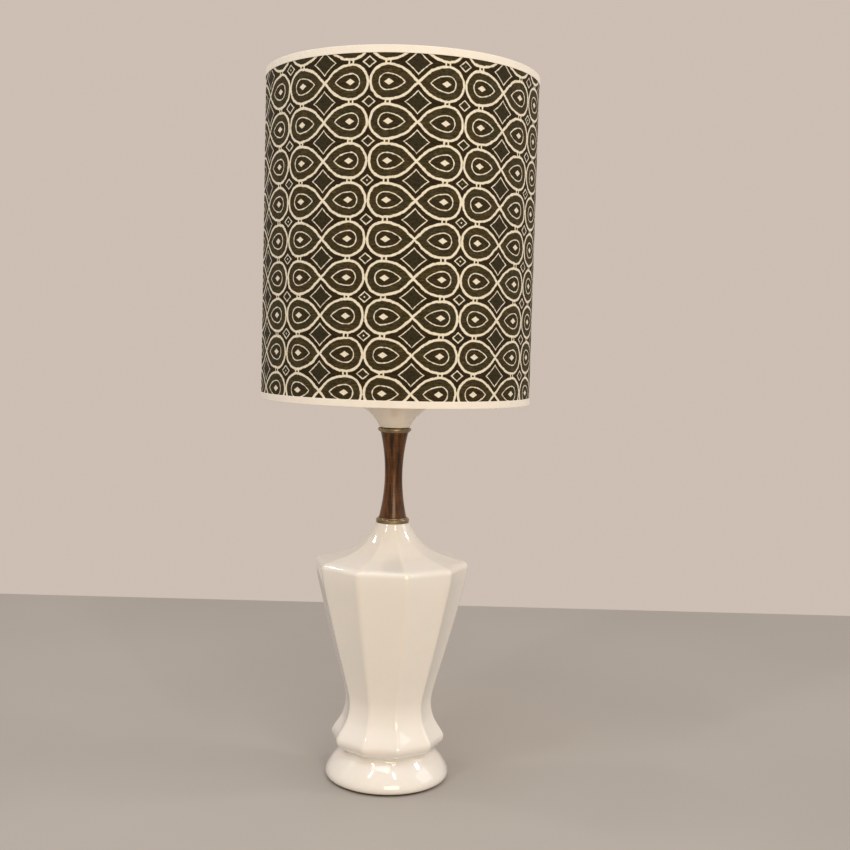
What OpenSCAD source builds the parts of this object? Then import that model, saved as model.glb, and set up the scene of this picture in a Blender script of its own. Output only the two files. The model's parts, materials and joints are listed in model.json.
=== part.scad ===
// Table lamp: fluted ceramic body, turned walnut neck, glass bowl, harp and tall drum shade.
// Millimetres. +Z up. The origin is the centre of the felt's underside.

/* [Shade] */
// Outer diameter of the drum shade
shade_d = 279.4; // [268:0.2:290]
// Height of the drum shade
shade_h = 330.2; // [326:0.2:340]
// Height of the shade's lower edge above the table
shade_low = 400.8; // [399:0.1:402]
// Height of the cloth trim on each edge
trim_h = 7; // [5:0.5:12]
// Number of spider arms
spider_arms = 3; // [2:1:4]

/* [Ceramic body] */
// Number of shallow flutes round the body
flutes = 10; // [9:1:12]
// Azimuth of the first ridge between flutes
ridge_turn = 13; // [0:1:35]
// Depth of a flute below the straight line between its ridges, as a share of the radius
flute_sag = 0.015; // [0.005:0.005:0.02]
// Radius of the hole for the threaded rod
rod_hole_r = 5.6; // [5.3:0.1:7]

/* [Neck] */
// Height at which the ceramic ends and the neck begins
neck_low = 272.6; // [272:0.1:273]
// Length of the turned wood
wood_len = 89.8; // [89:0.1:91]
// Radius of the turned wood at its ends
wood_end_r = 14.6; // [13:0.1:16]
// Radius of the turned wood at its waist
wood_waist_r = 9.3; // [8:0.1:11]
// Radius of the two brass rings
neck_ring_r = 17.4; // [17:0.1:19]

/* [Socket and bulb] */
// Outer radius of the lamp socket's shell
socket_r = 17.2; // [16.8:0.1:17.3]
// Largest radius of the bulb
bulb_r = 30; // [25:0.5:32]
// Height of the switch shaft
switch_z = 434; // [433:0.5:436]

/* [Harp] */
// Half the width of the harp at its feet
harp_foot_x = 29; // [28:0.5:30]
// Half the width of the harp at its widest
harp_wide_x = 56; // [50:0.5:60]
// Radius of the harp's wire
harp_wire_r = 2; // [1.6:0.1:2.2]

/* [Hidden] */
$fn = 96;

// Rod and base
felt_t = 1.6;
felt_r = 60.6;
rod_r = 4.9;
rod_bore_r = 3.3;
rod_low = 14;
base_floor_low = 29;
base_floor_high = 35;
inlet_z = 9;
inlet_hole_r = 4.5;
inlet_face = 61.5;

// Heights of the stack on the rod
ring_low_h = 5.4;
wood_low = neck_low + ring_low_h;
wood_high = wood_low + wood_len;
ring_high_h = 4.4;
bowl_seat = wood_high + ring_high_h;
gasket_t = 0.8;
bowl_low = bowl_seat + gasket_t;
bowl_floor_t = 3.2;
bowl_t = 2.6;
nut_low = bowl_low + bowl_floor_t + gasket_t + 1.4;
nut_t = 5.2;
tube_low = nut_low + nut_t;
saddle_low = tube_low + 14.4;
saddle_t = 1.6;
cap_low = saddle_low + saddle_t;

// Socket and bulb
socket_low = cap_low + 21;
socket_top = cap_low + 62;
interior_low = cap_low + 25;
shell_seat = cap_low + 44;
bulb_low = shell_seat + 3.4;
bulb_screw_low = bulb_low + 4.1;
bulb_neck_z = bulb_low + 25;
bulb_top = bulb_low + 110;

// Harp and shade
foot_len = 16;
sleeve_len = 18;
harp_bend_r = 20;
harp_bend = 30;
harp_straight_top = 655;
// How far each join in the wire stands proud, so that its stretches are one solid
join_bead = 0.03;
harp_top = harp_straight_top + harp_wide_x;
stud_seat = harp_top + 4.7;
running_gap = 0.3;
washer_low = stud_seat + running_gap;
washer_t = 1.6;
thread_r = 3.05;
thread_top = stud_seat + 12.3;
finial_low = washer_low + washer_t + running_gap;
shade_r = shade_d / 2;
shade_top = shade_low + shade_h;
trim_t = 0.5;
cover_t = 0.4;
liner_t = 0.7;
skin_gap = 0.05;
cover_r = shade_r - trim_t - skin_gap;
liner_r = cover_r - cover_t - skin_gap;
ring_wire_r = 1.6;
ring_centre_r = liner_r - liner_t - ring_wire_r - 0.1;
ring_inset = trim_t + ring_wire_r + 0.1;
arm_r = 1.5;

// Outline of the ceramic body from its foot to its mouth, as [radius, height].
// The stretches between the points follow a smooth curve.
body_line = [[61.8, felt_t], [64.6, 3.6], [65.2, 7.2], [63, 13], [57.6, 21], [52.2, 27],
    [49.3, 30.5], [50, 33.5], [55.8, 37], [59.8, 41.5], [60.6, 46], [58.4, 51], [53.7, 58],
    [49.3, 66], [46.6, 76], [46.4, 86], [49.3, 100], [60.6, 140], [73.8, 190],
    [80.2, 217], [81.5, 226], [81.7, 229], [80.6, 231.8], [78, 233.5], [69.8, 235.6],
    [60.6, 238], [50.4, 241.1], [40.3, 245.8], [32, 252], [26, 259], [21.5, 265.5],
    [17.6, neck_low]];
// Inside of the same wall, from the mouth down to the floor and then the foot's recess.
cavity_line = [[rod_hole_r, neck_low], [rod_hole_r, 266], [12, 262], [20, 254],
    [30, 245], [45, 237], [60, 232.5], [71, 229], [73.5, 224], [71, 212], [65, 190],
    [52.5, 140], [42.5, 102], [39.8, 86], [40, 76], [43, 66], [48, 57], [52, 49],
    [50, 41], [44, base_floor_high], [rod_hole_r, base_floor_high],
    [rod_hole_r, base_floor_low], [42, base_floor_low], [47, 25], [52.5, 18.5],
    [57, 11], [57, felt_t]];
// Where the flutes start, reach full depth and fade out again, as [height, depth share].
flute_fade = [[0, 0], [31, 0], [36, 0.75], [44, 1], [238, 1], [247, 0.65], [262, 0.12],
    [neck_low, 0]];
// Outline of the glass bowl's underside, as [radius, height above the bowl's foot].
bowl_line = [[16, 0], [16.8, 1.6], [18.2, 4.2], [20.3, 7.4], [23.2, 10.8], [27, 14.4],
    [31.8, 18], [38, 21.8], [47, 26.2], [58, 32], [68, 38.6], [74.5, 44.6], [77, 48]];

// A smooth curve through a list of points: point u of the way from p[i] to p[i + 1].
function knot(a, b) = sqrt(norm(b - a));
function mix(a, b, ta, tb, t) = ((tb - t) * a + (t - ta) * b) / (tb - ta);
function at(p, i) = i < 0 ? 2 * p[0] - p[1]
    : i >= len(p) ? 2 * p[len(p) - 1] - p[len(p) - 2] : p[i];
function curve_point(p, i, u) =
    let (p0 = at(p, i - 1), p1 = p[i], p2 = p[i + 1], p3 = at(p, i + 2),
        t1 = knot(p0, p1), t2 = t1 + knot(p1, p2), t3 = t2 + knot(p2, p3),
        t = t1 + (t2 - t1) * u,
        a1 = mix(p0, p1, 0, t1, t), a2 = mix(p1, p2, t1, t2, t),
        a3 = mix(p2, p3, t2, t3, t),
        b1 = mix(a1, a2, 0, t2, t), b2 = mix(a2, a3, t1, t3, t))
    mix(b1, b2, t1, t2, t);
// The whole curve, with a point at least every `step` millimetres.
function smooth(p, step) = concat(
    [for (i = [0:len(p) - 2]) let (n = max(1, ceil(norm(p[i + 1] - p[i]) / step)))
        for (k = [0:n - 1]) curve_point(p, i, k / n)],
    [p[len(p) - 1]]);
// A line moved sideways by d, to the left of its direction.
function shifted(p, d) = [for (i = [0:len(p) - 1])
    let (t = at(p, i + 1) - at(p, i - 1)) p[i] + d * [-t.y, t.x] / norm(t)];
function reversed(p) = [for (i = [len(p) - 1:-1:0]) p[i]];

// Radius of the fluted section at an azimuth, as a share of the radius at its ridges.
// Each flute is an arc, hollow outwards, from one ridge to the next.
function flute_share(azimuth) =
    let (pitch = 360 / flutes, turn = (azimuth - ridge_turn) / pitch,
        off = (turn - floor(turn) - 0.5) * pitch, half = sin(pitch / 2),
        arc_r = (pow(half, 2) + pow(flute_sag, 2)) / (2 * flute_sag),
        hub = cos(pitch / 2) - flute_sag + arc_r)
    hub * cos(off) - sqrt(pow(arc_r, 2) - pow(hub * sin(off), 2));
function fluted_r(r, z, azimuth) = r * (1 - lookup(z, flute_fade) * (1 - flute_share(azimuth)));

module band(r_out, r_in, low, high) {
    translate([0, 0, low]) difference() {
        cylinder(r = r_out, h = high - low);
        translate([0, 0, -1]) cylinder(r = r_in, h = high - low + 2);
    }
}

module turned(line) {
    rotate_extrude() polygon(line);
}

module hex_nut(across, bore_r, low, high) {
    translate([0, 0, low]) difference() {
        cylinder(r = across / sqrt(3), h = high - low, $fn = 6);
        translate([0, 0, -1]) cylinder(r = bore_r, h = high - low + 2);
    }
}

// A closed loop of points swept once round the axis; the first `outer` points are fluted.
module swept_wall(loop, outer, columns) {
    rows = len(loop);
    points = [for (k = [0:columns - 1]) let (azimuth = ridge_turn + 360 * k / columns)
        for (i = [0:rows - 1])
            let (p = loop[i], r = i < outer ? fluted_r(p.x, p.y, azimuth) : p.x)
            [r * sin(azimuth), -r * cos(azimuth), p.y]];
    quads = [for (k = [0:columns - 1], i = [0:rows - 1])
        let (a = k * rows, b = (k + 1) % columns * rows, j = (i + 1) % rows)
        [a + i, a + j, b + j, b + i]];
    polyhedron(points, [for (q = quads) each [[q[0], q[1], q[2]], [q[0], q[2], q[3]]]]);
}

// Base
module felt_pad() {
    color("dimgray") cylinder(r = felt_r, h = felt_t);
}

module ceramic_body() {
    skin = smooth(body_line, 14);
    color("ivory") difference() {
        swept_wall(concat(skin, cavity_line), len(skin), 6 * flutes);
        translate([0, 50, inlet_z]) rotate([-90, 0, 0]) cylinder(r = inlet_hole_r, h = 20);
        translate([0, inlet_face, inlet_z]) rotate([-90, 0, 0]) cylinder(r = 6.4, h = 10);
    }
}

module cord_bushing() {
    color("saddlebrown") translate([0, inlet_face, inlet_z]) rotate([-90, 0, 0]) difference() {
        union() {
            cylinder(r = 6.1, h = 1.8);
            translate([0, 0, -5.5]) cylinder(r = inlet_hole_r - 0.1, h = 6);
        }
        translate([0, 0, -6]) cylinder(r = 3.3, h = 9);
    }
}

module base_washer() {
    color("silver") band(16, rod_r + 0.4, base_floor_low - 1.4, base_floor_low);
}

module base_lock_washer() {
    low = base_floor_low - 3;
    color("silver") difference() {
        band(8.6, rod_r + 0.3, low, base_floor_low - 1.4);
        translate([0, 7, low + 0.8]) rotate([0, 35, 0]) cube([0.8, 6, 6], center = true);
    }
}

module base_nut() {
    color("silver") hex_nut(16, rod_r + 0.05, base_floor_low - 9.5, base_floor_low - 3);
}

module threaded_rod() {
    color("darkgray") band(rod_r, rod_bore_r, rod_low, cap_low + 8.5);
}

// Neck
module neck_ring(height) {
    r = neck_ring_r;
    turned([[5.3, 0], [r - 0.7, 0], [r - 0.2, 0.4], [r, 1.1], [r, height - 2.2],
        [r - 0.3, height - 1.5], [r - 1, height - 1], [wood_end_r + 1, height - 0.9],
        [wood_end_r + 0.7, height], [5.3, height]]);
}

module lower_neck_ring() {
    color("darkgoldenrod") translate([0, 0, neck_low]) neck_ring(ring_low_h);
}

module walnut_neck() {
    half = wood_len / 2;
    sag = wood_end_r - wood_waist_r;
    arc_r = (pow(half, 2) + pow(sag, 2)) / (2 * sag);
    sweep = asin(half / arc_r);
    steps = 24;
    outline = [for (i = [-steps:steps]) let (a = sweep * i / steps)
        [wood_waist_r + arc_r * (1 - cos(a)), half + arc_r * sin(a)]];
    color("sienna") translate([0, 0, wood_low])
        turned(concat([[rod_hole_r, 0]], outline, [[rod_hole_r, wood_len]]));
}

module upper_neck_ring() {
    color("darkgoldenrod") translate([0, 0, bowl_seat]) mirror([0, 0, 1]) neck_ring(ring_high_h);
}

module bowl_gasket_lower() {
    color("dimgray") band(14, 5.4, bowl_seat, bowl_low);
}

module diffuser_bowl() {
    under = smooth(bowl_line, 5);
    inside = [for (p = shifted(under, bowl_t)) if (p.y > bowl_floor_t && p.x > 12) p];
    color("floralwhite") translate([0, 0, bowl_low])
        turned(concat([[rod_hole_r, 0]], under, reversed(inside),
            [[13.5, bowl_floor_t], [rod_hole_r, bowl_floor_t]]));
}

module bowl_gasket_upper() {
    low = bowl_low + bowl_floor_t;
    color("dimgray") band(12.6, 5.4, low, low + gasket_t);
}

module bowl_washer() {
    color("silver") band(12.6, rod_r + 0.3, nut_low - 1.4, nut_low);
}

module bowl_nut() {
    color("silver") hex_nut(14.2, rod_r + 0.05, nut_low, tube_low);
}

module neck_tube() {
    color("goldenrod") band(7.5, rod_r + 0.2, tube_low, saddle_low);
}

// Harp
module harp_saddle() {
    reach = harp_foot_x + 3.4;
    color("goldenrod") {
        translate([0, 0, saddle_low]) difference() {
            union() {
                cylinder(r = 11, h = saddle_t);
                translate([-reach + 3, -5, 0]) cube([2 * reach - 6, 10, saddle_t]);
                for (side = [-1, 1]) translate([side * harp_foot_x, 0, 0])
                    cylinder(r = 5, h = saddle_t);
            }
            translate([0, 0, -1]) cylinder(r = rod_r + 0.2, h = saddle_t + 2);
        }
        for (side = [-1, 1]) translate([side * harp_foot_x, 0, saddle_low + saddle_t / 2])
            cylinder(r = 2.2, h = 13);
    }
}

// The wire rises from each foot, bows outwards, runs straight up and closes in a half round.
module harp_wire() {
    foot_low = cap_low + 0.2;
    rise_low = foot_low + foot_len;
    bend_low = cap_low + 34;
    out = harp_wide_x - harp_foot_x;
    bend_out = harp_bend_r * (1 - cos(harp_bend));
    slant = (out - 2 * bend_out) / sin(harp_bend);
    bend_mid = bend_low + harp_bend_r * sin(harp_bend);
    slant_high = bend_mid + slant * cos(harp_bend);
    bend_high = slant_high + harp_bend_r * sin(harp_bend);
    joins = [[harp_foot_x, bend_low], [harp_foot_x + bend_out, bend_mid],
        [harp_wide_x - bend_out, slant_high], [harp_wide_x, bend_high],
        [harp_wide_x, harp_straight_top]];
    color("goldenrod") {
        for (side = [0, 1]) mirror([side, 0, 0]) {
            translate([harp_foot_x, 0, 0]) {
                band(3.4, 2.4, foot_low, rise_low);
                translate([0, 0, rise_low - 0.5]) cylinder(r1 = 3.4, r2 = harp_wire_r, h = 2.5);
                translate([0, 0, rise_low]) cylinder(r = harp_wire_r, h = bend_low - rise_low);
            }
            translate([harp_foot_x + harp_bend_r, 0, bend_low]) rotate([90, 0, 0])
                rotate([0, 0, 180 - harp_bend])
                    rotate_extrude(angle = harp_bend)
                        translate([harp_bend_r, 0]) circle(r = harp_wire_r);
            translate([harp_foot_x + bend_out, 0, bend_mid])
                rotate([0, harp_bend, 0]) cylinder(r = harp_wire_r, h = slant);
            for (p = joins) translate([p.x, 0, p.y]) sphere(r = harp_wire_r + join_bead);
            translate([harp_wide_x - harp_bend_r, 0, bend_high]) rotate([90, 0, 0])
                rotate([0, 0, -harp_bend])
                    rotate_extrude(angle = harp_bend)
                        translate([harp_bend_r, 0]) circle(r = harp_wire_r);
            translate([harp_wide_x, 0, bend_high])
                cylinder(r = harp_wire_r, h = harp_straight_top - bend_high);
        }
        translate([0, 0, harp_straight_top]) rotate([90, 0, 0])
            rotate_extrude(angle = 180)
                translate([harp_wide_x, 0]) circle(r = harp_wire_r);
    }
}

module harp_stud() {
    color("goldenrod") difference() {
        union() {
            translate([0, 0, harp_top - 3.2]) cylinder(r = 4.6, h = stud_seat - harp_top + 3.2);
            translate([0, 0, harp_top]) cylinder(r = thread_r, h = thread_top - harp_top);
        }
        translate([-8, 0, harp_top - 0.05]) rotate([0, 90, 0])
            cylinder(r = harp_wire_r + 0.25, h = 16);
    }
}

module harp_sleeve(side) {
    low = cap_low + 0.4;
    color("goldenrod") translate([side * harp_foot_x, 0, 0])
        turned([[3.7, low], [4.9, low], [5, low + 0.6], [4.6, low + 1.4],
            [4.6, low + sleeve_len - 1], [4.2, low + sleeve_len], [3.7, low + sleeve_len]]);
}

module harp_sleeve_left() {
    harp_sleeve(-1);
}

module harp_sleeve_right() {
    harp_sleeve(1);
}

// Socket
module socket_cap() {
    outside = [[8.2, 0], [8.2, 7.4], [9, 8.6], [13.4, 10.6], [16.6, 12.8], [18.2, 16], [18.2, 23]];
    inside = [[17.4, 23], [17.4, 16.2], [16, 13.6], [13, 11.4], [8.6, 9.6], [7, 8.6]];
    color("goldenrod") difference() {
        translate([0, 0, cap_low])
            turned(concat([[rod_r + 0.1, 0]], outside, inside, [[rod_r + 0.1, 8.6]]));
        translate([0, 3, cap_low + 4]) rotate([-90, 0, 0]) cylinder(r = 1.7, h = 8);
    }
}

module socket_set_screw() {
    color("silver") translate([0, rod_r + 0.1, cap_low + 4]) rotate([-90, 0, 0]) difference() {
        union() {
            cylinder(r = 1.6, h = 4);
            translate([0, 0, 3.4]) cylinder(r = 2.5, h = 1.8);
        }
        translate([0, 0, 4.9]) cube([6, 0.7, 1.4], center = true);
    }
}

// Round opening in the socket's wall that the switch shaft comes out of.
module switch_window(r) {
    translate([0, 0, switch_z]) rotate([90, 0, 0]) cylinder(r = r, h = 30);
}

module socket_shell() {
    r = socket_r;
    color("goldenrod") difference() {
        turned([[r - 0.6, socket_low], [r, socket_low], [r, socket_top - 9],
            [r + 0.5, socket_top - 8], [r, socket_top - 7], [r, socket_top - 1.4],
            [r + 0.5, socket_top - 0.8], [r + 0.2, socket_top], [r - 0.6, socket_top]]);
        switch_window(5);
    }
}

module socket_liner() {
    color("tan") difference() {
        band(socket_r - 0.8, socket_r - 1.5, socket_low + 0.5, socket_top - 1);
        switch_window(4.6);
    }
}

module socket_interior() {
    color("black") difference() {
        union() {
            translate([0, 0, interior_low]) cylinder(r = 14.6, h = shell_seat - interior_low);
            translate([0, 0, interior_low + 2]) cylinder(r = 15.2, h = 6);
        }
        translate([0, 0, switch_z]) rotate([90, 0, 0]) cylinder(r = 2.05, h = 30);
    }
}

module terminal_screws() {
    for (side = [-1, 1]) translate([side * 8.5, 0, interior_low - 1.9])
        color(side < 0 ? "silver" : "goldenrod") difference() {
            cylinder(r = 2.8, h = 1.9);
            cube([8, 0.8, 1.4], center = true);
        }
}

module screw_shell() {
    color("gold") turned([[5, shell_seat], [14.3, shell_seat], [14.3, socket_top - 1],
        [13.6, socket_top - 1], [13.6, shell_seat + 0.6], [5, shell_seat + 0.6]]);
}

module centre_contact() {
    color("gold") translate([0, 0, shell_seat]) {
        cylinder(r = 2, h = 2.2);
        translate([0, 0, 2.2]) cylinder(r1 = 3.4, r2 = 2.6, h = 0.8);
    }
}

// Switch: the knob turns with its shaft.
module switch_shaft() {
    color("silver") translate([0, -4, switch_z]) rotate([90, 0, 0]) cylinder(r = 2, h = 30);
}

module switch_knob() {
    color("black") translate([0, -23, switch_z]) rotate([90, 0, 0]) difference() {
        turned([[2.05, 0], [4.2, 0], [4.4, 1.6], [6.6, 3], [7, 4], [7, 11.4], [6, 12.4],
            [0, 12.8], [0, 11.1], [2.05, 11.1]]);
        for (a = [0:30:359]) rotate([0, 0, a]) translate([7.7, 0, 2])
            cylinder(r = 1.2, h = 12, $fn = 24);
    }
}

// Bulb
module bulb_contact() {
    color("silver") translate([0, 0, bulb_low])
        turned([[0, 0], [2.6, 0], [4, 0.5], [4.4, 1.2], [4.4, 1.6], [0, 1.6]]);
}

module bulb_insulator() {
    color("black") translate([0, 0, bulb_low + 1.6])
        turned([[0, 0], [5.2, 0], [7.5, 0.6], [11.6, 2.2], [11.6, 2.5], [0, 2.5]]);
}

module bulb_base() {
    turns = 6;
    pitch = 2.8;
    wave = [for (i = [0:turns * 6]) [12.7 + 0.4 * cos(60 * i), 1 + pitch * i / 6]];
    color("silver") translate([0, 0, bulb_screw_low])
        turned(concat([[11, 0], [11.8, 0]], wave, [[13, 18.6], [13.2, 20], [12.4, 20],
            [12.2, 18.6], [11, 1]]));
}

module bulb_glass() {
    h = bulb_top - bulb_neck_z;
    line = smooth([[11.6, -5], [11.9, 0], [13.6, 9], [18.6, 22], [25.6, 35],
        [bulb_r - 0.6, 46], [bulb_r, 53], [bulb_r - 1.5, 64], [24.5, 75], [15.5, 82],
        [6, h - 0.5], [0, h]], 4);
    wall = [for (p = shifted(line, 0.9)) [max(0, p.x), min(p.y, h - 0.9)]];
    color("whitesmoke") translate([0, 0, bulb_neck_z]) turned(concat(line, reversed(wall)));
}

module bulb_stem() {
    color("lightcyan") translate([0, 0, bulb_neck_z]) {
        turned([[0, 1], [10.6, 1], [10.6, 2], [5, 6], [3, 14], [2.4, 24], [2.4, 27], [0, 27]]);
    }
}

module bulb_filament() {
    tip = bulb_neck_z + 46;
    half = 11;
    color("gray") {
        for (side = [-1, 1]) translate([side * 2.2, 0, bulb_neck_z + 27.1])
            rotate([0, side * atan((half - 2.2) / 18.9), 0])
                cylinder(r = 0.4, h = norm([half - 2.2, 18.9]), $fn = 16);
        translate([-half, 0, tip]) rotate([0, 90, 0]) cylinder(r = 0.7, h = 2 * half, $fn = 16);
    }
}

// Shade
module wire_ring(z) {
    translate([0, 0, z]) rotate_extrude() translate([ring_centre_r, 0]) circle(r = ring_wire_r);
}

// Placed from the washer out to the top ring, once for each arm.
module along_arms(from_r, to_r, r) {
    rise = shade_top - ring_inset - washer_low - washer_t / 2;
    tilt = atan(rise / ring_centre_r);
    for (k = [0:spider_arms - 1]) rotate([0, 0, 90 + 360 * k / spider_arms])
        translate([0, 0, washer_low + washer_t / 2]) rotate([0, 90 - tilt, 0])
            translate([0, 0, from_r / cos(tilt)])
                cylinder(r = r, h = (to_r - from_r) / cos(tilt));
}

module spider() {
    color("goldenrod") difference() {
        union() {
            translate([0, 0, washer_low]) cylinder(r = 11, h = washer_t);
            along_arms(8, ring_centre_r - ring_wire_r - 0.1, arm_r);
        }
        translate([0, 0, washer_low - 3]) cylinder(r = thread_r + 0.3, h = 10);
        translate([0, 0, washer_low - 3]) cylinder(r = 11, h = 3);
        translate([0, 0, washer_low + washer_t]) cylinder(r = 9.6, h = 4);
    }
}

module shade_top_ring() {
    color("goldenrod") wire_ring(shade_top - ring_inset);
}

module shade_bottom_ring() {
    color("goldenrod") wire_ring(shade_low + ring_inset);
}

module shade_liner() {
    color("linen") band(liner_r, liner_r - liner_t, shade_low + trim_t, shade_top - trim_t);
}

module shade_cover() {
    color("darkolivegreen") band(cover_r, cover_r - cover_t, shade_low + trim_t, shade_top - trim_t);
}

// Tape folded over an edge: outside band, top and a short band inside the wire ring.
module folded_tape() {
    in_r = ring_centre_r - ring_wire_r - 0.1;
    turned([[shade_r, -trim_h], [shade_r, -0.3], [shade_r - 0.3, 0], [in_r - trim_t + 0.3, 0],
        [in_r - trim_t, -0.3], [in_r - trim_t, -5], [in_r, -5], [in_r, -trim_t],
        [shade_r - trim_t, -trim_t], [shade_r - trim_t, -trim_h]]);
}

module top_trim() {
    color("ivory") difference() {
        translate([0, 0, shade_top]) folded_tape();
        along_arms(100, ring_centre_r, arm_r + 0.3);
    }
}

module bottom_trim() {
    color("ivory") translate([0, 0, shade_low]) mirror([0, 0, 1]) folded_tape();
}

module finial() {
    bore_r = thread_r + 0.1;
    color("goldenrod") translate([0, 0, finial_low]) turned([[bore_r, 0], [6.2, 0], [6.4, 0.8],
        [6, 1.8], [4.4, 2.6], [4.2, 5.6], [5.4, 7], [7.4, 9.4], [8.4, 12.4], [8.5, 15],
        [7.6, 18.4], [5.4, 21.2], [3, 22.6], [2.4, 23.4], [1.6, 24.2], [0, 24.5],
        [0, 13.5], [bore_r, 12]]);
}

felt_pad();
ceramic_body();
cord_bushing();
base_washer();
base_lock_washer();
base_nut();
threaded_rod();
lower_neck_ring();
walnut_neck();
upper_neck_ring();
bowl_gasket_lower();
diffuser_bowl();
bowl_gasket_upper();
bowl_washer();
bowl_nut();
neck_tube();
harp_saddle();
socket_cap();
socket_set_screw();
socket_shell();
socket_liner();
socket_interior();
terminal_screws();
screw_shell();
centre_contact();
switch_shaft();
switch_knob();
bulb_contact();
bulb_insulator();
bulb_base();
bulb_glass();
bulb_stem();
bulb_filament();
harp_wire();
harp_stud();
harp_sleeve_left();
harp_sleeve_right();
spider();
shade_top_ring();
shade_bottom_ring();
shade_liner();
shade_cover();
top_trim();
bottom_trim();
finial();
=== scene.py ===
"""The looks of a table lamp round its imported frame. Metres, +Z up, and the front faces -Y."""
import json
import math

import bmesh
import bpy
from mathutils import Matrix, Vector


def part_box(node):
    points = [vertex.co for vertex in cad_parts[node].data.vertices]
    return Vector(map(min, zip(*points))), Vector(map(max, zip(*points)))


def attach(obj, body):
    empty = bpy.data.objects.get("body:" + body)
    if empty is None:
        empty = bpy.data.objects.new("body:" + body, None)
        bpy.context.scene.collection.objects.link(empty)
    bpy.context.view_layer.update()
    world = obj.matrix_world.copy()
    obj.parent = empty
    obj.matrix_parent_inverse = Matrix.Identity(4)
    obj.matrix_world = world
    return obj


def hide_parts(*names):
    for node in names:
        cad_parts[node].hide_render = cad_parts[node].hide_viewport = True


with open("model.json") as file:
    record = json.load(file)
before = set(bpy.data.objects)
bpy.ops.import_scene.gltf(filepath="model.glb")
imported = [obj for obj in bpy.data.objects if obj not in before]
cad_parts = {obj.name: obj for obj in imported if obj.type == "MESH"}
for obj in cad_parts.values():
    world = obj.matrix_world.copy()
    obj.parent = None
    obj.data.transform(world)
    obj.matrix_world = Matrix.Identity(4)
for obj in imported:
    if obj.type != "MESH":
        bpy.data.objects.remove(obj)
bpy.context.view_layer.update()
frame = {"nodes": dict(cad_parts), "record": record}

MM = 0.001


# --- Sizes, from the frame -----------------------------------------------------------------

def low(node):
    """The lowest corner of a node's box."""
    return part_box(node)[0]


def high(node):
    """The highest corner of a node's box."""
    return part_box(node)[1]


SHADE_R = high("top_trim").x
SHADE_LOW = low("bottom_trim").z
SHADE_TOP = high("top_trim").z
TRIM_H = SHADE_TOP - low("top_trim").z
COVER_R = high("shade_cover").x
LINER_R = high("shade_liner").x
WOOD_LOW = low("walnut_neck").z
WOOD_TOP = high("walnut_neck").z
WOOD_R = high("walnut_neck").x
BOWL_LOW = low("diffuser_bowl").z
BULB_LOW = low("bulb_glass").z
BULB_TOP = high("bulb_glass").z
FINIAL_LOW = low("finial").z
WAIST_R = 9.3 * MM
ROD_BORE_R = 5.6 * MM

# --- Mesh building -------------------------------------------------------------------------

def curve_through(points, step):
    """A smooth centripetal curve through (radius, height) points, a point every `step`."""
    pts = [Vector(p) for p in points]
    padded = [2 * pts[0] - pts[1], *pts, 2 * pts[-1] - pts[-2]]
    out = []
    for i in range(1, len(padded) - 2):
        p = padded[i - 1:i + 3]
        t = [0.0]
        for a, b in zip(p, p[1:]):
            t.append(t[-1] + math.sqrt((b - a).length))

        def mix(a, b, ta, tb, now):
            return ((tb - now) * a + (now - ta) * b) / (tb - ta)

        count = max(1, math.ceil((p[2] - p[1]).length / step))
        for k in range(count):
            now = t[1] + (t[2] - t[1]) * k / count
            a1, a2, a3 = (mix(p[j], p[j + 1], t[j], t[j + 1], now) for j in range(3))
            b1, b2 = mix(a1, a2, t[0], t[2], now), mix(a2, a3, t[1], t[3], now)
            out.append(tuple(mix(b1, b2, t[1], t[2], now)))
    out.append(tuple(pts[-1]))
    return out


def in_mm(points, base=0.0):
    """(radius, height) points written in millimetres, as metres above `base`."""
    return [(r * MM, z * MM + base) for r, z in points]


def sweep(name, loop, columns, radius=None, closed=True, sharp=35):
    """A line of (radius, height) points swept round Z. radius(r, z, azimuth, index) reshapes it."""
    rows = len(loop)
    verts = []
    for k in range(columns):
        azimuth = 2 * math.pi * k / columns
        for i, (r, z) in enumerate(loop):
            r = radius(r, z, azimuth, i) if radius else r
            verts.append((r * math.sin(azimuth), -r * math.cos(azimuth), z))
    faces = []
    for k in range(columns):
        a, b = k * rows, (k + 1) % columns * rows
        for i in range(rows if closed else rows - 1):
            j = (i + 1) % rows
            faces.append((a + i, b + i, b + j, a + j))
    mesh = bpy.data.meshes.new(name)
    mesh.from_pydata(verts, [], faces)
    bm = bmesh.new()
    bm.from_mesh(mesh)
    bmesh.ops.remove_doubles(bm, verts=bm.verts, dist=1e-6)
    bmesh.ops.dissolve_degenerate(bm, dist=1e-7, edges=bm.edges)
    bmesh.ops.recalc_face_normals(bm, faces=bm.faces)
    bm.to_mesh(mesh)
    bm.free()
    mesh.shade_smooth()
    mesh.set_sharp_from_angle(angle=math.radians(sharp))
    piece = bpy.data.objects.new(name, mesh)
    bpy.context.scene.collection.objects.link(piece)
    return piece


def inset(line, thickness):
    """The line moved sideways, to the left of its direction."""
    out = []
    for i, (r, z) in enumerate(line):
        r0, z0 = line[max(0, i - 1)]
        r1, z1 = line[min(len(line) - 1, i + 1)]
        d = math.hypot(r1 - r0, z1 - z0)
        out.append((max(0.0, r - thickness * (z1 - z0) / d), z + thickness * (r1 - r0) / d))
    return out


# --- Materials -----------------------------------------------------------------------------

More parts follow.
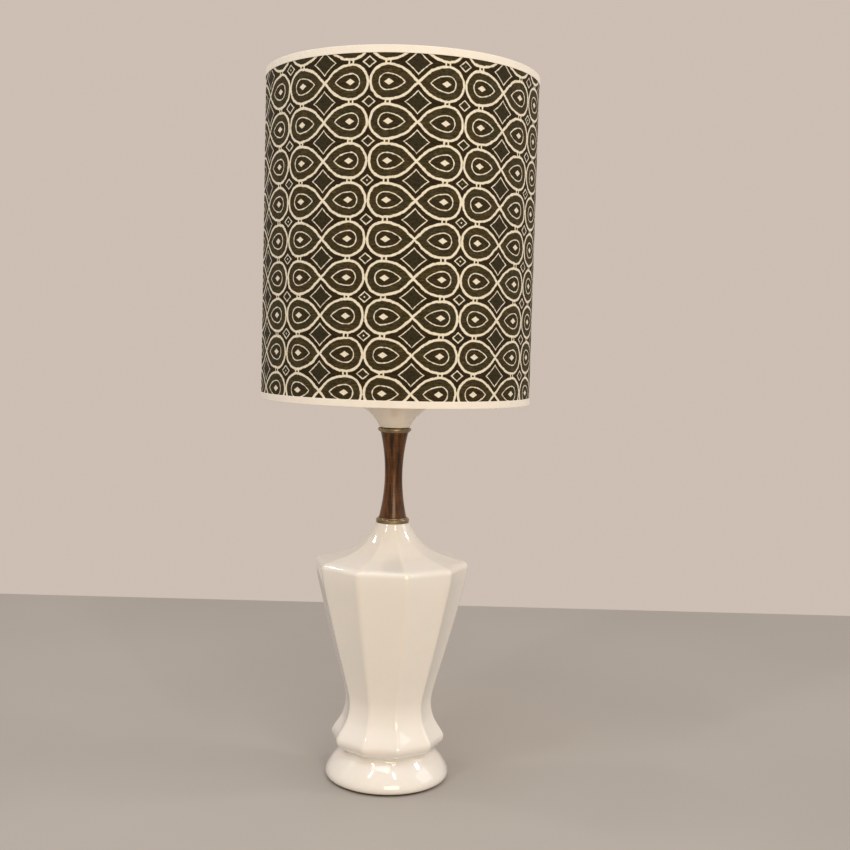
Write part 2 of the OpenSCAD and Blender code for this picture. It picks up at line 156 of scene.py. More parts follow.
class Finish:
    """A Principled material, with short calls for the nodes that feed it."""

    def __init__(self, name, color, roughness, **sockets):
        self.material = bpy.data.materials.new(name)
        self.material.use_nodes = True
        self.tree = self.material.node_tree
        self.shader = self.tree.nodes["Principled BSDF"]
        self.place = self.tree.nodes.new("ShaderNodeTexCoord").outputs["Object"]
        self.shader.inputs["Base Color"].default_value = (*color, 1)
        self.shader.inputs["Roughness"].default_value = roughness
        for socket, value in sockets.items():
            self.shader.inputs[socket.replace("_", " ")].default_value = value

    def put(self, socket, value):
        if isinstance(value, bpy.types.NodeSocket):
            self.tree.links.new(value, socket)
        else:
            socket.default_value = value

    def feed(self, socket, value):
        self.put(self.shader.inputs[socket], value)

    def math(self, operation, a, b=None, c=None):
        node = self.tree.nodes.new("ShaderNodeMath")
        node.operation = operation
        for socket, value in zip(node.inputs, (a, b, c)):
            if value is not None:
                self.put(socket, value)
        return node.outputs[0]

    def axes(self):
        node = self.tree.nodes.new("ShaderNodeSeparateXYZ")
        self.put(node.inputs[0], self.place)
        return node.outputs

    def stretch(self, x, y, z, vector=None):
        """Object coordinates multiplied along each axis."""
        node = self.tree.nodes.new("ShaderNodeVectorMath")
        node.operation = "MULTIPLY"
        self.put(node.inputs[0], vector or self.place)
        node.inputs[1].default_value = (x, y, z)
        return node.outputs[0]

    def noise(self, scale, detail=3.0, vector=None, roughness=0.5, distortion=0.0):
        node = self.tree.nodes.new("ShaderNodeTexNoise")
        self.put(node.inputs["Vector"], vector or self.place)
        node.inputs["Scale"].default_value = scale
        node.inputs["Detail"].default_value = detail
        node.inputs["Roughness"].default_value = roughness
        node.inputs["Distortion"].default_value = distortion
        return node.outputs["Fac"]

    def cells(self, scale, vector=None, feature="F1"):
        node = self.tree.nodes.new("ShaderNodeTexVoronoi")
        node.feature = feature
        self.put(node.inputs["Vector"], vector or self.place)
        node.inputs["Scale"].default_value = scale
        return node.outputs["Distance"]

    def span(self, value, from_low, from_high, to_low=0.0, to_high=1.0):
        node = self.tree.nodes.new("ShaderNodeMapRange")
        node.interpolation_type = "SMOOTHSTEP"
        for socket, v in zip(node.inputs, (value, from_low, from_high, to_low, to_high)):
            self.put(socket, v)
        return node.outputs[0]

    def mix(self, share, a, b):
        node = self.tree.nodes.new("ShaderNodeMix")
        node.data_type = "RGBA"
        self.put(node.inputs[0], share)
        for socket, value in ((node.inputs[6], a), (node.inputs[7], b)):
            self.put(socket, (*value, 1) if isinstance(value, tuple) and len(value) == 3 else value)
        return node.outputs[2]

    def bump(self, height, distance, strength=1.0):
        """Adds a bump of `distance` metres; further calls stack on it."""
        node = self.tree.nodes.new("ShaderNodeBump")
        node.inputs["Strength"].default_value = strength
        node.inputs["Distance"].default_value = distance
        self.put(node.inputs["Height"], height)
        linked = self.shader.inputs["Normal"].links
        if linked:
            self.put(node.inputs["Normal"], linked[0].from_socket)
        self.put(self.shader.inputs["Normal"], node.outputs[0])


def metal(name, color, roughness, brushed=0.0, tarnish=None):
    """Metal with faint turning marks, uneven polish and optional darker tarnish."""
    f = Finish(name, color, roughness, Metallic=1.0)
    cloud = f.noise(90, 4)
    f.feed("Roughness", f.span(cloud, 0.3, 0.75, roughness * 0.75, roughness * 1.45))
    dark = tarnish or tuple(c * 0.72 for c in color)
    f.feed("Base Color", f.mix(f.span(f.noise(55, 3), 0.4, 0.9), color, dark))
    marks = f.noise(1.0, 2, f.stretch(60, 60, 2600))
    f.bump(marks, 0.002 * MM + 0.006 * MM * brushed, 0.6)
    return f.material


def plastic(name, color, roughness, coat=0.0):
    """Moulded plastic: a faint grain, slight mottling and uneven gloss."""
    f = Finish(name, color, roughness, Coat_Weight=coat, Coat_Roughness=0.08)
    f.feed("Roughness", f.span(f.noise(70, 4), 0.3, 0.8, roughness * 0.8, roughness * 1.3))
    lighter = tuple(min(1, c * 1.2 + 0.004) for c in color)
    f.feed("Base Color", f.mix(f.noise(260, 4), color, lighter))
    f.bump(f.noise(1800, 2), 0.03 * MM, 0.6)
    return f.material


def glaze():
    """Ivory gloss glaze: warmer on the ridges, two tones mixed by noise, and a few specks."""
    f = Finish("glaze", (0.80, 0.755, 0.69), 0.11, Coat_Weight=1.0, Coat_Roughness=0.025,
               Coat_IOR=1.5, Subsurface_Weight=0.08, Subsurface_Scale=0.004)
    x, y, z = f.axes()
    azimuth = f.math("ARCTAN2", x, f.math("MULTIPLY", y, -1.0))
    pitch = 2 * math.pi / FLUTES
    off = f.math("PINGPONG", f.math("SUBTRACT", azimuth, RIDGE_TURN), pitch / 2)
    on_ridge = f.span(off, 0.0, 0.055, 1.0, 0.0)
    fluted = f.span(z, 0.036, 0.05)
    worn = f.math("MULTIPLY", on_ridge, f.math("MULTIPLY", fluted, 0.5))
    pooled = f.span(f.noise(14, 3), 0.35, 0.75)
    body = f.mix(pooled, (0.84, 0.82, 0.785), (0.81, 0.80, 0.775))
    ridged = f.mix(worn, body, (0.86, 0.815, 0.74))
    speck = f.span(f.cells(170), 0.035, 0.05, 0.55, 0.0)
    rare = f.span(f.noise(40, 1), 0.68, 0.72)
    f.feed("Base Color", f.mix(f.math("MULTIPLY", speck, rare), ridged, (0.42, 0.31, 0.2)))
    f.bump(f.noise(26, 2), 0.25 * MM, 0.35)
    f.bump(f.noise(420, 2), 0.006 * MM, 0.5)
    return f.material


def walnut():
    """Dark walnut turned on a lathe: grain along the neck, fine turning lines, satin lacquer."""
    f = Finish("walnut", (0.12, 0.05, 0.02), 0.32, Coat_Weight=0.5, Coat_Roughness=0.1,
               Specular_IOR_Level=0.1)
    long_grain = f.noise(1.0, 5, f.stretch(230, 230, 9), 0.6, 0.4)
    figure = f.noise(1.0, 3, f.stretch(70, 70, 14), 0.5, 1.5)
    wood = f.mix(f.span(long_grain, 0.35, 0.68), (0.018, 0.006, 0.0015), (0.135, 0.048, 0.007))
    wood = f.mix(f.span(figure, 0.45, 0.8, 0.0, 0.55), wood, (0.31, 0.118, 0.016))
    pores = f.noise(1.0, 2, f.stretch(1500, 1500, 60))
    turning = f.noise(1.0, 3, f.stretch(8, 8, 1250))
    dark = (0.010, 0.004, 0.0015)
    wood = f.mix(f.span(turning, 0.5, 0.66, 0.0, 0.6), wood, dark)
    f.feed("Base Color", f.mix(f.span(pores, 0.62, 0.78, 0.0, 0.8), wood, dark))
    f.bump(turning, 0.2 * MM, 0.7)
    f.bump(pores, 0.05 * MM, 0.4)
    f.feed("Roughness", f.span(turning, 0.3, 0.7, 0.26, 0.42))
    return f.material


def opal(name, color, weight=0.25):
    """Opal glass: polished, faintly uneven, with some light scattered inside."""
    f = Finish(name, color, 0.12, Coat_Weight=0.8, Coat_Roughness=0.04,
               Subsurface_Weight=weight, Subsurface_Scale=0.01)
    f.feed("Base Color", f.mix(f.noise(18, 3), color, tuple(c * 0.93 for c in color)))
    f.bump(f.noise(34, 2), 0.2 * MM, 0.3)
    f.bump(f.noise(700, 2), 0.004 * MM, 0.5)
    return f.material


def clear_glass(name, color, roughness):
    """Clear glass with a faintly uneven surface."""
    f = Finish(name, color, roughness, Transmission_Weight=1.0, IOR=1.45)
    f.feed("Roughness", f.span(f.noise(120, 3), 0.3, 0.7, roughness * 0.8, roughness * 1.25))
    f.bump(f.noise(60, 2), 0.05 * MM, 0.3)
    return f.material


def felt():
    """Near-black felt with tangled fibres."""
    f = Finish("felt", (0.03, 0.025, 0.022), 0.95, Sheen_Weight=0.4, Sheen_Roughness=0.5)
    fibres = f.noise(1400, 5, roughness=0.7, distortion=1.5)
    f.feed("Base Color", f.mix(fibres, (0.018, 0.015, 0.013), (0.06, 0.05, 0.045)))
    f.bump(fibres, 0.35 * MM, 0.9)
    return f.material


def woven_height(f, across, pitch):
    """Threads over and under, on arc length `across` and height."""
    z = f.axes()[2]
    warp = f.math("SINE", f.math("MULTIPLY", across, 2 * math.pi / pitch))
    weft = f.math("SINE", f.math("MULTIPLY", z, 2 * math.pi / pitch))
    return f.math("MULTIPLY", warp, weft)


def arc_length(f, radius):
    """Azimuth from the front, and the distance round the shade that it comes to."""
    x, y, _ = f.axes()
    azimuth = f.math("ARCTAN2", x, f.math("MULTIPLY", y, -1.0))
    return azimuth, f.math("MULTIPLY", azimuth, radius)


# The print repeats in cells that mirror at every edge, so one quarter of a repeat is drawn.
# `along` runs from the crossing of two loops to where their round ends meet, and `up` from
# the middle of a row to half way to the next. Both are in millimetres. The repeat and the place
# of the first crossing are in degrees round the shade, and the row sizes in millimetres.
REPEAT = 37.1
CROSSING = 7.2
ROW_PITCH = 35.5
ROW_MIDDLE = 414.2
HALF_ALONG = COVER_R / MM * math.radians(REPEAT) / 2
HALF_UP = ROW_PITCH / 2


def distance_to(f, along, up, centre):
    """Distance from a point of the print's cell, in millimetres."""
    a = f.math("SUBTRACT", along, centre[0])
    b = f.math("SUBTRACT", up, centre[1])
    return f.math("SQRT", f.math("ADD", f.math("MULTIPLY", a, a), f.math("MULTIPLY", b, b)))


def choose(f, test, yes, no):
    """yes where test is 1, and no where it is 0."""
    return f.math("ADD", f.math("MULTIPLY", yes, test),
                  f.math("MULTIPLY", no, f.math("SUBTRACT", 1.0, test)))


def loop_edge(f, along, up):
    """Signed distance to the big loop: straight from the crossing, then two arcs."""
    rise, round_at, shoulder_r = 15.5, 28.0, 30.2
    straight_end = 6.65
    line = f.math("MULTIPLY", f.math("SUBTRACT", up, along), math.sqrt(0.5))
    shoulder = f.math("SUBTRACT", distance_to(f, along, up, (round_at, rise - shoulder_r)), shoulder_r)
    end = f.math("SUBTRACT", distance_to(f, along, up, (round_at + 0.3, 0)), rise)
    rest = choose(f, f.math("LESS_THAN", along, round_at), shoulder, end)
    return choose(f, f.math("LESS_THAN", along, straight_end), line, rest)


def drop_edge(f, along, up, tip, centre, radius):
    """Signed distance to a drop: arcs from its tip to its widest, then half a circle."""
    run = centre - tip
    flank_r = (run ** 2 + radius ** 2) / (2 * radius)
    flank = distance_to(f, along, up, (centre, radius - flank_r))
    flank = f.math("SUBTRACT", flank, flank_r)
    circle = f.math("SUBTRACT", distance_to(f, along, up, (centre, 0)), radius)
    return choose(f, f.math("LESS_THAN", along, centre), flank, circle)


def diamond_edge(f, a, b, wide, tall, hollow):
    """Signed distance to a diamond whose sides curve in where hollow is under 1."""
    share = f.math("ADD", f.math("POWER", f.math("DIVIDE", a, wide), hollow),
                   f.math("POWER", f.math("DIVIDE", b, tall), hollow))
    reach = f.math("SUBTRACT", f.math("POWER", share, 1 / hollow), 1.0)
    return f.math("MULTIPLY", reach, wide * tall / math.hypot(wide, tall))


def inside(f, edge, soft=0.28):
    """1 inside a signed distance's edge and 0 outside, blended over `soft` millimetres."""
    return f.span(edge, -soft, soft, 1.0, 0.0)


def print_masks(f):
    """The cream lines, and the grounds in the loops, in the diamonds and in the drops."""
    azimuth, _ = arc_length(f, COVER_R)
    shift = f.math("MULTIPLY", f.math("SUBTRACT", f.noise(110, 2), 0.5), 2.2)
    uneven = f.math("MULTIPLY", f.math("SUBTRACT", f.noise(330, 3), 0.5), 1.3)
    turn = f.math("SUBTRACT", azimuth, math.radians(CROSSING))
    folded = f.math("PINGPONG", turn, math.radians(REPEAT) / 2)
    along = f.math("MULTIPLY", folded, COVER_R / MM)
    row = f.math("SUBTRACT", f.math("DIVIDE", f.axes()[2], MM), ROW_MIDDLE)
    up = f.math("PINGPONG", row, HALF_UP)
    from_edge = f.math("SUBTRACT", HALF_UP, up)
    from_end = f.math("SUBTRACT", HALF_ALONG, along)

    def drawn(edge, width):
        """A brushed line: its edge wavers, and its width is a little uneven."""
        off = f.math("ADD", f.math("ABSOLUTE", edge), uneven)
        return f.span(off, width / 2 - 0.3, width / 2 + 0.3, 1.0, 0.0)

    loop = f.math("ADD", loop_edge(f, along, up), shift)
    drop = f.math("ADD", drop_edge(f, along, up, 11.8, 28.4, 7.4), f.math("MULTIPLY", shift, 0.5))
    seed = diamond_edge(f, f.math("ABSOLUTE", f.math("SUBTRACT", along, 26.8)), up, 4.5, 2.9, 1.0)
    seed = f.math("ADD", seed, f.math("MULTIPLY", uneven, 0.6))
    big = f.math("ADD", diamond_edge(f, along, from_edge, 11.9, 10.6, 0.9),
                 f.math("MULTIPLY", shift, 0.4))
    small = f.math("ADD", diamond_edge(f, from_end, from_edge, 5.7, 4.7, 1.0),
                   f.math("MULTIPLY", shift, 0.3))
    dot = f.math("SUBTRACT", distance_to(f, from_end, from_edge, (0, 0)), 0.75)
    dot = f.math("MULTIPLY", inside(f, dot), f.span(f.noise(31, 1), 0.5, 0.56))
    tie_off = f.math("SUBTRACT", f.math("ABSOLUTE", f.math("SUBTRACT", along, 27.6)), 2.0)
    tie = f.math("MULTIPLY", drawn(tie_off, 1.5), f.span(up, 15.2, 15.8))
    lines = drawn(loop, 2.25)
    for other in (drawn(drop, 0.95), inside(f, seed), drawn(big, 0.95), drawn(small, 0.95), tie, dot):
        lines = f.math("MAXIMUM", lines, other)
    return lines, inside(f, loop), f.math("MAXIMUM", inside(f, big), inside(f, small)), inside(f, drop)


def print_cloth():
    """Cotton printed with cream loops on olive brown, with brushed, batik-like grounds."""
    f = Finish("print_cloth", (0.1, 0.08, 0.04), 0.85, Sheen_Weight=0.02, Sheen_Roughness=0.5,
               Specular_IOR_Level=0.15)
    lines, loops, diamonds, drops = print_masks(f)
    _, across = arc_length(f, COVER_R)
    z = f.axes()[2]
    flat = f.tree.nodes.new("ShaderNodeCombineXYZ")
    f.put(flat.inputs[0], across)
    f.put(flat.inputs[1], z)
    flat = flat.outputs[0]
    brush = f.noise(1.0, 4, f.stretch(120, 900, 1, flat), 0.65, 0.5)
    mottle = f.noise(1.0, 5, f.stretch(330, 420, 1, flat), 0.7)
    drift = f.noise(1.0, 2, f.stretch(34, 22, 1, flat))
    ground = f.mix(f.span(brush, 0.35, 0.7), (0.012, 0.007, 0.0015), (0.046, 0.028, 0.007))
    green = f.mix(f.span(brush, 0.3, 0.72), (0.018, 0.016, 0.006), (0.098, 0.080, 0.034))
    brown = f.mix(f.span(brush, 0.3, 0.72), (0.024, 0.016, 0.004), (0.106, 0.074, 0.028))
    fill = f.mix(f.span(drift, 0.35, 0.65), green, brown)
    lozenge = f.mix(f.span(mottle, 0.35, 0.7), (0.014, 0.011, 0.004), (0.066, 0.052, 0.025))
    patch = f.span(f.noise(1.0, 3, f.stretch(75, 110, 1, flat), 0.6), 0.32, 0.68)
    fill = f.mix(f.math("MULTIPLY", patch, 0.55), fill, (0.026, 0.020, 0.007))
    dyed = f.mix(loops, ground, fill)
    dyed = f.mix(diamonds, dyed, lozenge)
    dyed = f.mix(f.math("MULTIPLY", drops, 0.55), dyed, ground)
    dyed = f.mix(f.span(mottle, 0.4, 0.72, 0.0, 0.7), dyed, (0.010, 0.008, 0.003))
    cream = f.mix(f.span(mottle, 0.3, 0.75), (0.84, 0.79, 0.67), (0.68, 0.64, 0.49))
    f.feed("Base Color", f.mix(lines, dyed, cream))
    weave = woven_height(f, across, 0.55 * MM)
    f.bump(weave, 0.05 * MM, 0.5)
    f.bump(f.noise(1.0, 3, f.stretch(500, 2200, 1, flat)), 0.05 * MM, 0.5)
    return f.material


def tape():
    """Off-white cotton tape with a fine rib."""
    f = Finish("trim_tape", (0.80, 0.76, 0.68), 0.8, Sheen_Weight=0.15, Sheen_Roughness=0.4)
    _, across = arc_length(f, SHADE_R)
    rib = f.math("SINE", f.math("MULTIPLY", across, 2 * math.pi / (0.9 * MM)))
    f.bump(rib, 0.04 * MM, 0.5)
    f.bump(f.noise(900, 3), 0.08 * MM, 0.5)
    f.feed("Base Color", f.mix(f.noise(60, 4), (0.87, 0.84, 0.78), (0.78, 0.74, 0.67)))
    return f.material


def styrene():
    """The shade's white liner: smooth, slightly warm, with a faint pebble."""
    f = Finish("styrene", (0.84, 0.80, 0.72), 0.45)
    f.feed("Base Color", f.mix(f.noise(25, 3), (0.86, 0.82, 0.75), (0.80, 0.75, 0.66)))
    f.feed("Roughness", f.span(f.noise(90, 3), 0.3, 0.7, 0.38, 0.55))
    f.bump(f.noise(1300, 2), 0.03 * MM, 0.5)
    return f.material


def card():
    """Brown insulating card with visible fibres."""
    f = Finish("liner_card", (0.36, 0.24, 0.13), 0.85)
    fibres = f.noise(600, 5, roughness=0.7)
    f.feed("Base Color", f.mix(fibres, (0.27, 0.17, 0.09), (0.46, 0.32, 0.18)))
    f.bump(fibres, 0.05 * MM, 0.6)
    return f.material


# --- The ceramic body ----------------------------------------------------------------------
FLUTES = 10
RIDGE_TURN = math.radians(13)
FLUTE_SAG = 0.015
RIDGE_ROUND = math.radians(3.2)

# The same outline as the CAD body's, in millimetres.
BODY_LINE = [
    (61.8, 1.6), (64.6, 3.6), (65.2, 7.2), (63, 13), (57.6, 21), (52.2, 27), (49.3, 30.5),
    (50, 33.5), (55.8, 37), (59.8, 41.5), (60.6, 46), (58.4, 51), (53.7, 58), (49.3, 66),
    (46.6, 76), (46.4, 86), (49.3, 100), (60.6, 140), (73.8, 190), (80.2, 217), (81.5, 226),
    (81.7, 229), (80.6, 231.8), (78, 233.5), (69.8, 235.6), (60.6, 238), (50.4, 241.1),
    (40.3, 245.8), (32, 252), (26, 259), (21.5, 265.5), (17.6, 272.6)]
HOLLOW_LINE = [
    (5.6, 272.6), (5.6, 266), (12, 262), (20, 254), (30, 245), (45, 237), (60, 232.5),
    (71, 229), (73.5, 224), (71, 212), (65, 190), (52.5, 140), (42.5, 102), (39.8, 86),
    (40, 76), (43, 66), (48, 57), (52, 49), (50, 41), (44, 35), (5.6, 35), (5.6, 29),
    (42, 29), (47, 25), (52.5, 18.5), (57, 11), (57, 1.6)]
FLUTE_FADE = [(0, 0), (31, 0), (36, 0.75), (44, 1), (238, 1), (247, 0.65), (262, 0.12), (273, 0)]


def lookup(table, x):
    """The value at x, on straight lines between the table's points."""
    for (x0, y0), (x1, y1) in zip(table, table[1:]):
        if x <= x1:
            return y0 + (y1 - y0) * max(0.0, x - x0) / (x1 - x0)
    return table[-1][1]


def flute_share(azimuth):
    """Radius of the fluted section, as a share of the radius at its ridges."""
    pitch = 2 * math.pi / FLUTES
    off = (azimuth - RIDGE_TURN) % pitch - pitch / 2
    half = math.sin(pitch / 2)
    arc_r = (half ** 2 + FLUTE_SAG ** 2) / (2 * FLUTE_SAG)
    hub = math.cos(pitch / 2) - FLUTE_SAG + arc_r
    return hub * math.cos(off) - math.sqrt(arc_r ** 2 - (hub * math.sin(off)) ** 2)


def rounded_share(azimuth, samples=9):
    """The same section with its ridges rounded, as thick glaze leaves them."""
    total = weights = 0.0
    for k in range(-samples, samples + 1):
        weight = math.cos(0.5 * math.pi * k / (samples + 1))
        total += weight * flute_share(azimuth + RIDGE_ROUND * k / samples)
        weights += weight
    return total / weights


def make_body():
    """The fluted, hollow body, with the cord's inlet cut through the back of its foot."""
    outer = curve_through(in_mm(BODY_LINE), 2.6 * MM)
    columns = 480
    shares = [rounded_share(2 * math.pi * k / columns) for k in range(columns)]

    def radius(r, z, azimuth, i):
        if i >= len(outer):
            return r
        share = shares[round(azimuth / (2 * math.pi) * columns) % columns]
        return r * (1 - lookup(FLUTE_FADE, z / MM) * (1 - share))

    body = sweep("fluted_body", outer + in_mm(HOLLOW_LINE), columns, radius, sharp=50)
    bore = high("cord_bushing") - low("cord_bushing")
    face = high("cord_bushing").y - 1.8 * MM
    height = (high("cord_bushing").z + low("cord_bushing").z) / 2
    for reach, start, r in ((20 * MM, 50 * MM, 4.5 * MM), (10 * MM, face, bore.x / 2 + 0.3 * MM)):
        bpy.ops.mesh.primitive_cylinder_add(
            radius=r, depth=reach, vertices=48, location=(0, start + reach / 2, height),
            rotation=(math.pi / 2, 0, 0))
        cutter = bpy.context.object
        cut = body.modifiers.new("inlet", "BOOLEAN")
        cut.operation = "DIFFERENCE"
        cut.object = cutter
        bpy.context.view_layer.objects.active = body
        bpy.ops.object.modifier_apply(modifier=cut.name)
        bpy.data.objects.remove(cutter)
    body.data.set_sharp_from_angle(angle=math.radians(50))
    return body


# --- Neck, bowl, bulb and finial -----------------------------------------------------------

def make_neck():
    """The turned neck: its long waisted curve, with crisp ends and fine turned rings."""
    half = (WOOD_TOP - WOOD_LOW) / 2
    sag = WOOD_R - WAIST_R
    arc_r = (half ** 2 + sag ** 2) / (2 * sag)
    turn = math.asin(half / arc_r)
    steps = 130
    line = []
    for i in range(-steps, steps + 1):
        a = turn * i / steps
        ring = 0.035 * MM * (1 - math.cos(i * 2.1))
        r = WOOD_R - sag + arc_r * (1 - math.cos(a)) - ring
        line.append((r, WOOD_LOW + half + arc_r * math.sin(a)))
    ease = 0.35 * MM
    line[0] = (line[0][0] - ease, WOOD_LOW)
    line.insert(1, (line[1][0], WOOD_LOW + ease))
    line[-1] = (line[-1][0] - ease, WOOD_TOP)
    line.insert(-1, (line[-2][0], WOOD_TOP - ease))
    line = [(ROD_BORE_R, WOOD_LOW), *line, (ROD_BORE_R, WOOD_TOP)]
    return sweep("turned_neck", line, 96)


BOWL_LINE = [
    (16, 0), (16.8, 1.6), (18.2, 4.2), (20.3, 7.4), (23.2, 10.8), (27, 14.4), (31.8, 18),
    (38, 21.8), (47, 26.2), (58, 32), (68, 38.6), (74.5, 44.6), (77, 48)]


def make_bowl():
    """The diffuser bowl: one wall of even thickness with a rounded rim and a flat floor."""
    thick, floor, hole = 2.6 * MM, 3.2 * MM, ROD_BORE_R
    under = curve_through(in_mm(BOWL_LINE), 1.5 * MM)
    above = [(r, z) for r, z in inset(under, thick) if z > floor and r > 12 * MM]
    rim = (Vector(under[-1]) + Vector(above[-1])) / 2 + Vector((0.5, 0.7)) * MM
    loop = [(hole, 0.0)] + under + [tuple(rim)] + above[::-1] + [(13.5 * MM, floor), (hole, floor)]
    return sweep("opal_bowl", [(r, z + BOWL_LOW) for r, z in loop], 144, sharp=45)


def make_bulb():
    """The bulb's glass: a smooth outline with a thin wall."""
    neck = BULB_LOW + 5 * MM
    top = (BULB_TOP - neck) / MM
    line = in_mm([(11.6, -5), (11.9, 0), (13.6, 9), (18.6, 22), (25.6, 35), (29.4, 46), (30, 53),
                  (28.5, 64), (24.5, 75), (15.5, 82), (6, top - 0.5), (0, top)], neck)
    line = curve_through(line, 2 * MM)
    wall = [(r, min(z, BULB_TOP - 0.9 * MM)) for r, z in inset(line, 0.9 * MM)]
    return sweep("bulb_envelope", line + wall[::-1], 96, sharp=60)


def make_finial():
    """A turned brass finial, its profile smoothed between its beads."""
    base = in_mm([(3.15, 0), (6.2, 0), (6.4, 0.8), (6, 1.8), (4.4, 2.6)], FINIAL_LOW)
    knob = curve_through(in_mm([(4.4, 2.6), (4.2, 5.6), (5.4, 7), (7.4, 9.4), (8.4, 12.4),
                                (8.5, 15), (7.6, 18.4), (5.4, 21.2), (3, 22.6), (2.4, 23.4),
                                (1.6, 24.2), (0, 24.5)], FINIAL_LOW), 0.6 * MM)
    bore = in_mm([(0, 13.5), (3.15, 12)], FINIAL_LOW)
    top = high("finial").z
    return sweep("turned_finial", base + [(max(0, r), min(z, top)) for r, z in knob[1:]] + bore, 72)


# --- The shade -----------------------------------------------------------------------------

TAPE_INSIDE = 5 * MM
TAPE_THICK = 0.5 * MM
TAPE_IN_R = LINER_R - 4.6 * MM


def make_cover():
    """The printed cloth: a thin tube, a little uneven, with its glued seam at the back."""
    thick = 0.4 * MM
    edge = 0.5 * MM
    bottom, top = SHADE_LOW + edge, SHADE_TOP - edge
    rows = 48
    outer = [(COVER_R, bottom + (top - bottom) * i / rows) for i in range(rows + 1)]
    inner = [(COVER_R - thick, z) for _, z in outer[::-1]]
    seam_half = math.radians(2.6)

    def radius(r, z, azimuth, i):
        if i > rows:
            return r
        wave = math.sin(5 * azimuth + 3) + math.sin(9 * azimuth + 31 * z) + math.sin(17 * azimuth + 60 * z)
        seam = 0.22 * MM if abs(azimuth - math.pi) < seam_half else 0.0
        return r - 0.05 * MM + 0.015 * MM * wave + seam

    return sweep("printed_cover", outer + inner, 360, radius, sharp=60)


def make_tape(name, edge_z, up):
    """Cotton tape folded over a shade edge: outside band, rounded fold and inside band."""
    out_r = SHADE_R
    in_r = TAPE_IN_R
    thick = TAPE_THICK
    fold = 0.45 * MM
    rows = 10

    def place(r, down):
        return (r, edge_z - up * down)

    line = [place(out_r - 0.08 * MM, TRIM_H)]
    line += [place(out_r, fold + (TRIM_H - 0.3 * MM - fold) * (rows - i) / rows) for i in range(rows + 1)]
    line += [place(out_r - fold * (1 - math.cos(a)), fold * (1 - math.sin(a)))
             for a in (0.4, 0.8, 1.2, math.pi / 2)]
    line += [place(in_r - thick + fold * (1 - math.sin(a)), fold * (1 - math.cos(a)))
             for a in (0.0, 0.4, 0.8, 1.2)]
    line += [place(in_r - thick, TAPE_INSIDE * i / 4 + fold * (4 - i) / 4) for i in range(5)]
    line += [place(in_r, TAPE_INSIDE), place(in_r, thick), place(out_r - thick, thick),
             place(out_r - thick, TRIM_H)]

    def radius(r, z, azimuth, i):
        if r < in_r + 0.1 * MM:
            return r
        pucker = math.sin(61 * azimuth) + math.sin(97 * azimuth + 1.3) + math.sin(151 * azimuth + 0.4)
        return r - 0.03 * MM * (1 + pucker / 3)

    return sweep(name, line, 720, radius, sharp=50)


# --- Stage, lights and camera --------------------------------------------------------------

def make_stage():
    """A plain pale floor."""
    mesh = bpy.data.meshes.new("stage_floor")
    corners = [(-4, -3.5, 0), (4, -3.5, 0), (4, 0.8, 0), (-4, 0.8, 0)]
    mesh.from_pydata(corners, [], [(0, 1, 2, 3)])
    floor = bpy.data.objects.new("stage_floor", mesh)
    bpy.context.scene.collection.objects.link(floor)
    f = Finish("stage", (0.46, 0.43, 0.40), 0.6)
    f.feed("Base Color", f.mix(f.noise(3, 3), (0.43, 0.405, 0.38), (0.37, 0.35, 0.325)))
    wear(floor, f.material)


def soft_light(name, azimuth, elevation, distance, size, watts, color, target=0.25, height=None):
    """An area light aimed at a height on the lamp's axis, and hidden from the camera."""
    a, e = math.radians(azimuth), math.radians(elevation)
    aim = Vector((0, 0, target))
    data = bpy.data.lights.new(name, "AREA")
    data.energy = watts
    data.color = color
    data.shape = "RECTANGLE"
    data.size = size
    data.size_y = height or size
    light = bpy.data.objects.new(name, data)
    away = Vector((math.sin(a) * math.cos(e), -math.cos(a) * math.cos(e), math.sin(e)))
    light.location = aim + away * distance
    light.rotation_euler = away.to_track_quat("Z", "Y").to_euler()
    light.visible_camera = False
    bpy.context.scene.collection.objects.link(light)


def make_lights():
    """An even room, a warm box in front, a cool one above, and small lights for highlights."""
    world = bpy.data.worlds.new("room")
    bpy.context.scene.world = world
    world.use_nodes = True
    sky = world.node_tree.nodes["Background"]
    sky.inputs["Color"].default_value = (0.64, 0.545, 0.475, 1)
    sky.inputs["Strength"].default_value = 0.95
    soft_light("front_box", 12, 13, 2.4, 1.1, 19, (1.0, 0.81, 0.56), height=0.9)
    soft_light("top_box", -20, 74, 2.4, 1.4, 18, (0.80, 0.92, 1.0), 0.4)
    soft_light("left_fill", -85, 20, 2.4, 1.2, 1.2, (0.92, 0.96, 1.0), 0.4)
    soft_light("right_fill", 85, 20, 2.4, 1.2, 6, (0.92, 0.96, 1.0), 0.4)
    soft_light("left_strip", -40, 50, 2.2, 0.07, 4, (1.0, 0.98, 0.95), 0.1, 0.5)
    soft_light("right_strip", 22, 52, 2.2, 0.07, 4, (1.0, 0.98, 0.95), 0.1, 0.5)
    soft_light("left_spark", -100, 40, 2.2, 0.2, 4, (1.0, 0.98, 0.95), 0.25)
    soft_light("right_spark", 90, 41, 2.2, 0.2, 4, (1.0, 0.98, 0.95), 0.25)
    glow = bpy.data.lights.new("bulb_glow", "POINT")
    glow.energy = 0.12
    glow.color = (1.0, 0.82, 0.58)
    glow.shadow_soft_size = 0.03
    bulb = bpy.data.objects.new("bulb_glow", glow)
    bulb.location = (0, 0, BULB_TOP + 0.035)
    bpy.context.scene.collection.objects.link(bulb)


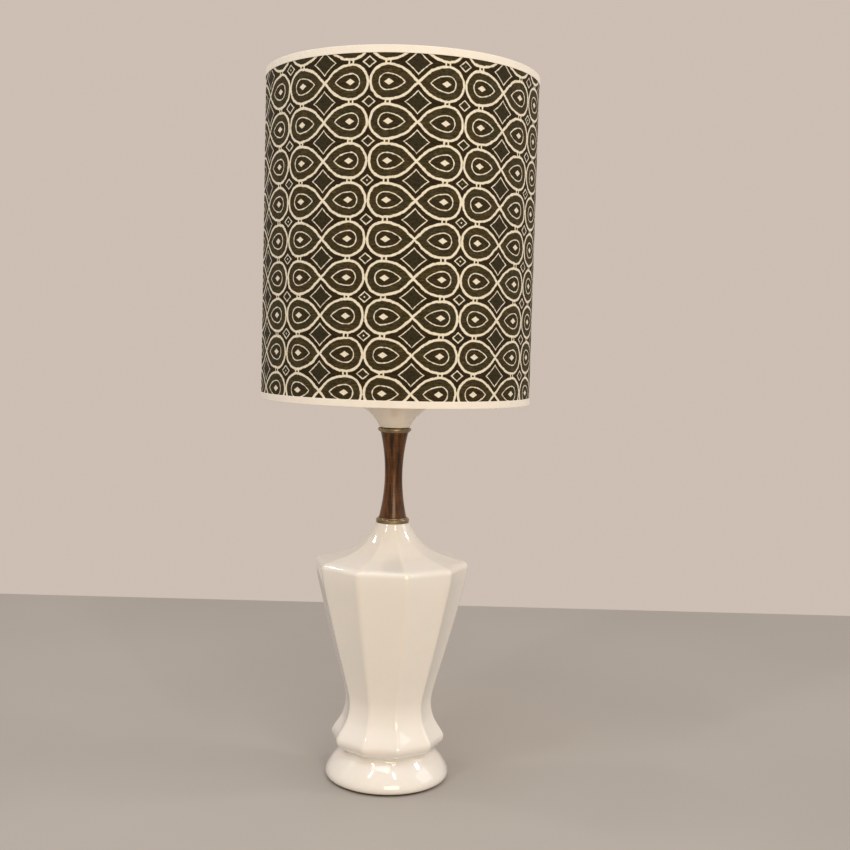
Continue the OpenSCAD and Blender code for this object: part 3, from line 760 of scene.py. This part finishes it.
def make_camera():
    """The view from about the height of the shade's lower part, a little down and rolled."""
    place = Vector((0.0316, -1.2199, 0.467))
    pitch, roll = 0.0746, 0.0262
    focal_share = 1.3746
    forward = Vector((0, math.cos(pitch), -math.sin(pitch)))
    level_up = Vector((0, math.sin(pitch), math.cos(pitch)))
    level_right = Vector((1, 0, 0))
    right = level_right * math.cos(roll) + level_up * math.sin(roll)
    up = level_up * math.cos(roll) - level_right * math.sin(roll)
    data = bpy.data.cameras.new("camera")
    data.sensor_width = 36
    data.lens = 36 * focal_share
    camera = bpy.data.objects.new("camera", data)
    bpy.context.scene.collection.objects.link(camera)
    turned = Matrix((right, up, -forward)).transposed().to_4x4()
    turned.translation = place
    camera.matrix_world = turned
    bpy.context.scene.camera = camera


# --- Putting it together -------------------------------------------------------------------

def wear(piece, material):
    """Gives the piece one material."""
    piece.data.materials.clear()
    piece.data.materials.append(material)
    return piece


def add(piece, material, body, slot, *nodes):
    """A new piece: its finish, the body that it rides on and the CAD nodes that it stands for."""
    wear(piece, material)
    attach(piece, body)
    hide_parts(*nodes)
    return piece


bpy.context.scene.view_settings.view_transform = "Standard"
make_camera()
make_lights()
make_stage()

BRASS = (0.66, 0.46, 0.20)
finishes = {
    "felt": felt(),
    "glaze": glaze(),
    "bushing": plastic("bushing", (0.045, 0.022, 0.015), 0.5),
    "zinc_steel": metal("zinc_steel", (0.56, 0.56, 0.54), 0.38, 0.5),
    "antique_brass": metal("antique_brass", (0.36, 0.28, 0.17), 0.30, 1.0, (0.15, 0.11, 0.065)),
    "walnut": walnut(),
    "gasket": plastic("gasket", (0.02, 0.02, 0.02), 0.75),
    "opal_glass": opal("opal_glass", (0.93, 0.84, 0.75)),
    "socket_brass": metal("socket_brass", BRASS, 0.24, 0.6),
    "liner_card": card(),
    "phenolic": plastic("phenolic", (0.012, 0.010, 0.009), 0.3, 0.4),
    "contact_brass": metal("contact_brass", (0.70, 0.52, 0.25), 0.2),
    "knob": plastic("knob", (0.016, 0.012, 0.010), 0.22, 0.6),
    "nickel": metal("nickel", (0.66, 0.64, 0.60), 0.22),
    "bulb_envelope": opal("frosted_glass", (0.88, 0.85, 0.79), 0.05),
    "stem_glass": clear_glass("stem_glass", (0.92, 0.95, 0.96), 0.05),
    "filament": metal("filament", (0.30, 0.29, 0.28), 0.45, 1.0),
    "harp_brass": metal("harp_brass", (0.58, 0.45, 0.25), 0.27, 0.3),
    "styrene": styrene(),
    "print_cloth": print_cloth(),
    "trim_cloth": tape(),
}

for part in frame["record"]["subparts"]:
    node = frame["nodes"][part["node"]]
    node.data.materials.clear()
    node.data.materials.append(finishes[part["material_slot"]])

add(make_body(), finishes["glaze"], "lamp_base", "glaze", "ceramic_body")
add(make_neck(), finishes["walnut"], "lamp_base", "walnut", "walnut_neck")
add(make_bowl(), finishes["opal_glass"], "lamp_base", "opal_glass", "diffuser_bowl")
add(make_bulb(), finishes["bulb_envelope"], "bulb", "bulb_envelope", "bulb_glass")
add(make_finial(), finishes["harp_brass"], "finial", "harp_brass", "finial")
cover = add(make_cover(), finishes["print_cloth"], "shade", "print_cloth", "shade_cover")
top_tape = add(make_tape("top_tape", SHADE_TOP, 1), finishes["trim_cloth"],
               "shade", "trim_cloth", "top_trim")
low_tape = add(make_tape("bottom_tape", SHADE_LOW, -1), finishes["trim_cloth"],
               "shade", "trim_cloth", "bottom_trim")
